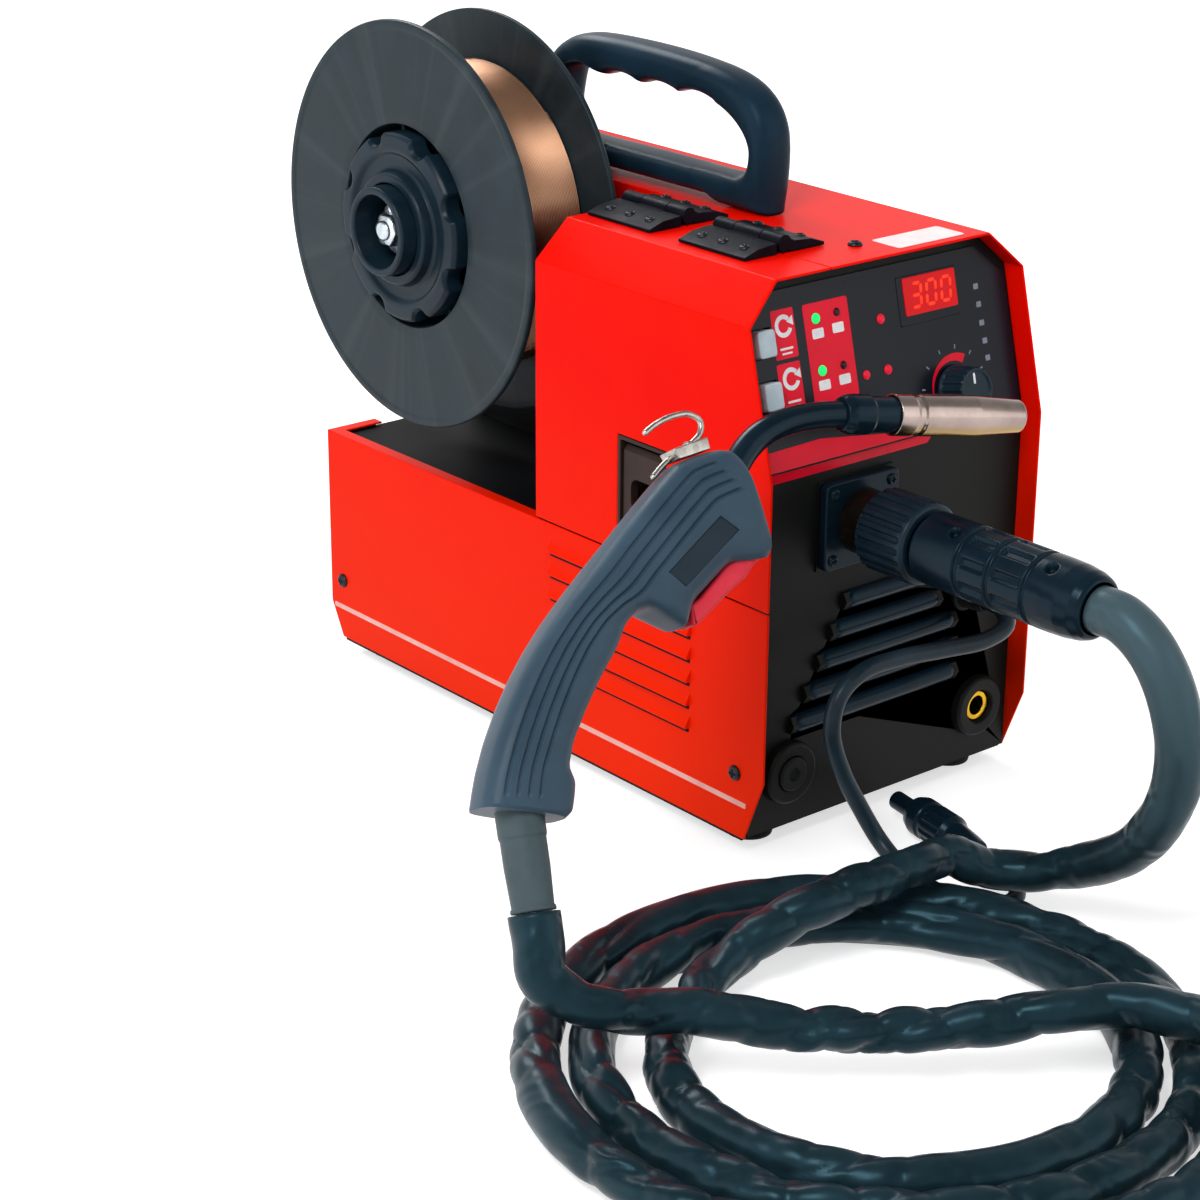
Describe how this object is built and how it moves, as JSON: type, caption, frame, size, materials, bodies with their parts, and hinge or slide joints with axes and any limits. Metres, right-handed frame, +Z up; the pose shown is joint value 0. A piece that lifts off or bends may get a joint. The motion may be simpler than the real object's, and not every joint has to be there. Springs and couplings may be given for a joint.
{
  "type": "mig welding machine",
  "caption": "Compact inverter welding machine with an open wire spool carrier, a feeder door, a carrying handle, a torch with trigger and coiled lead, and a short polarity lead.",
  "frame": {"origin": "on the floor under the middle of the machine with its torch and plug, leads left out", "axes": "+X to the machine's right side seen from the front, +Y to the back, +Z up"},
  "size_m": [0.4051, 0.6905, 0.34],
  "materials": {
    "red_paint": "powder coat, gloss",
    "black_paint": "powder coat, satin",
    "black_plastic": "moulded, fine grain",
    "spool_plastic": "moulded, recycled look",
    "torch_plastic": "moulded, soft sheen",
    "copper_wire": "copper coated steel wire",
    "brass": "turned",
    "steel": "zinc plated",
    "aluminium": "die cast",
    "rubber": "moulded",
    "sleeve": "soft cable sleeve",
    "white_plastic": "gloss",
    "red_plastic": "gloss",
    "display_red": "tinted",
    "board_green": "solder mask"
  },
  "bodies": {
    "chassis": {"base_pan": "black_paint", "left_side_panel": "red_paint", "main_cover": "red_paint", "spool_tray": "black_paint", "centre_wall": "black_paint", "front_panel": "black_plastic", "rear_panel": "black_plastic", "foot_front_left": "rubber", "foot_front_right": "rubber", "foot_rear_left": "rubber", "foot_rear_right": "rubber", "carry_handle": "black_plastic", "hinge_front_fixed": "black_plastic", "hinge_rear_fixed": "black_plastic", "control_plate": "black_plastic", "display_window": "display_red", "torch_socket": "brass", "dinse_socket_left": "black_plastic", "dinse_socket_right": "black_plastic", "dinse_contact_left": "brass", "dinse_contact_right": "brass", "polarity_gland": "rubber", "switch_frame": "black_plastic", "mains_gland": "black_plastic", "gas_inlet": "brass", "hub_axle": "steel", "feed_drive": "aluminium", "power_unit": "board_green", "torch_grip": "torch_plastic", "torch_neck": "black_plastic", "gas_nozzle": "brass", "contact_tip": "copper_wire", "hanging_hook": "steel", "cable_support": "torch_plastic", "plug_body": "black_plastic", "torch_lead_front": "sleeve", "torch_lead_coil": "sleeve", "torch_lead_tail": "sleeve", "polarity_lead": "rubber", "polarity_plug": "black_plastic"},
    "door": {"feeder_door": "red_paint", "hinge_front_moving": "black_plastic", "hinge_rear_moving": "black_plastic", "latch_bezel": "black_plastic"},
    "latch": {"latch_paddle": "black_plastic"},
    "spool": {"wire_spool": "spool_plastic", "wire_winding": "copper_wire", "spool_hub": "black_plastic"},
    "spool_nut": {"lock_nut": "black_plastic"},
    "upper_button": {"button_upper": "white_plastic"},
    "lower_button": {"button_lower": "white_plastic"},
    "knob": {"current_knob": "black_plastic"},
    "fan": {"fan_rotor": "black_plastic"},
    "rocker": {"power_switch": "red_plastic"},
    "lower_roll": {"drive_roll": "steel"},
    "arm": {"pressure_arm": "black_plastic"},
    "upper_roll": {"pressure_roll": "steel"},
    "tension_screw": {"tension_knob": "black_plastic"},
    "trigger": {"torch_trigger": "red_plastic"},
    "torch_nut": {"plug_nut": "black_plastic"}
  },
  "joints": [
    {"name": "door_hinge", "type": "hinge", "parent": "chassis", "child": "door", "pos_m": [0.06774, -0.01375, 0.2685], "axis": [0, 1, 0], "range_deg": [0, 100]},
    {"name": "latch_pivot", "type": "hinge", "parent": "door", "child": "latch", "pos_m": [0.02124, -0.03275, 0.169], "axis": [0, -1, 0], "range_deg": [0, 11], "stiffness_Nm_per_rad": 0.05, "springref_deg": -17.19},
    {"name": "spool_spin", "type": "hinge", "parent": "chassis", "child": "spool", "pos_m": [0.04774, 0.15275, 0.24], "axis": [1, 0, 0], "continuous": true},
    {"name": "lock_nut_turn", "type": "hinge", "parent": "spool", "child": "spool_nut", "pos_m": [0.02674, 0.15275, 0.24], "axis": [-1, 0, 0], "range_deg": [0, 360]},
    {"name": "button_upper_press", "type": "slide", "parent": "chassis", "child": "upper_button", "axis": [0, 0.9701, -0.2425], "range_m": [0, 0.0015], "stiffness_N_per_m": 300, "springref_m": -0.002},
    {"name": "button_lower_press", "type": "slide", "parent": "chassis", "child": "lower_button", "axis": [0, 0.9701, -0.2425], "range_m": [0, 0.0015], "stiffness_N_per_m": 300, "springref_m": -0.002},
    {"name": "current_knob_turn", "type": "hinge", "parent": "chassis", "child": "knob", "pos_m": [0.14074, -0.11152, 0.1979], "axis": [0, -0.9701, 0.2425], "range_deg": [-135, 135]},
    {"name": "fan_spin", "type": "hinge", "parent": "chassis", "child": "fan", "pos_m": [0.14174, 0.19325, 0.178], "axis": [0, 1, 0], "continuous": true},
    {"name": "power_switch_rock", "type": "hinge", "parent": "chassis", "child": "rocker", "pos_m": [0.12474, 0.20325, 0.096], "axis": [1, 0, 0], "range_deg": [-18, 0]},
    {"name": "drive_roll_spin", "type": "hinge", "parent": "chassis", "child": "lower_roll", "pos_m": [0.07674, -0.02875, 0.135], "axis": [1, 0, 0], "continuous": true},
    {"name": "pressure_arm_lift", "type": "hinge", "parent": "chassis", "child": "arm", "pos_m": [0.07674, -0.05375, 0.167], "axis": [1, 0, 0], "range_deg": [0, 50]},
    {"name": "pressure_roll_spin", "type": "hinge", "parent": "arm", "child": "upper_roll", "pos_m": [0.07674, -0.02875, 0.1618], "axis": [1, 0, 0], "continuous": true},
    {"name": "tension_knob_swing", "type": "hinge", "parent": "chassis", "child": "tension_screw", "pos_m": [0.08334, -0.00175, 0.132], "axis": [1, 0, 0], "range_deg": [0, 26]},
    {"name": "torch_trigger_pull", "type": "hinge", "parent": "chassis", "child": "trigger", "pos_m": [-0.03038, -0.15738, 0.16796], "axis": [0.0905, 0.8613, -0.5], "range_deg": [0, 5], "stiffness_Nm_per_rad": 0.6, "springref_deg": -8.59},
    {"name": "plug_nut_turn", "type": "hinge", "parent": "chassis", "child": "torch_nut", "pos_m": [0.07674, -0.14075, 0.15], "axis": [0, -1, 0], "range_deg": [0, 360]}
  ],
  "couplings": [
    {"joint": "pressure_roll_spin", "follows": "drive_roll_spin", "ratio": -1.3636}
  ]
}
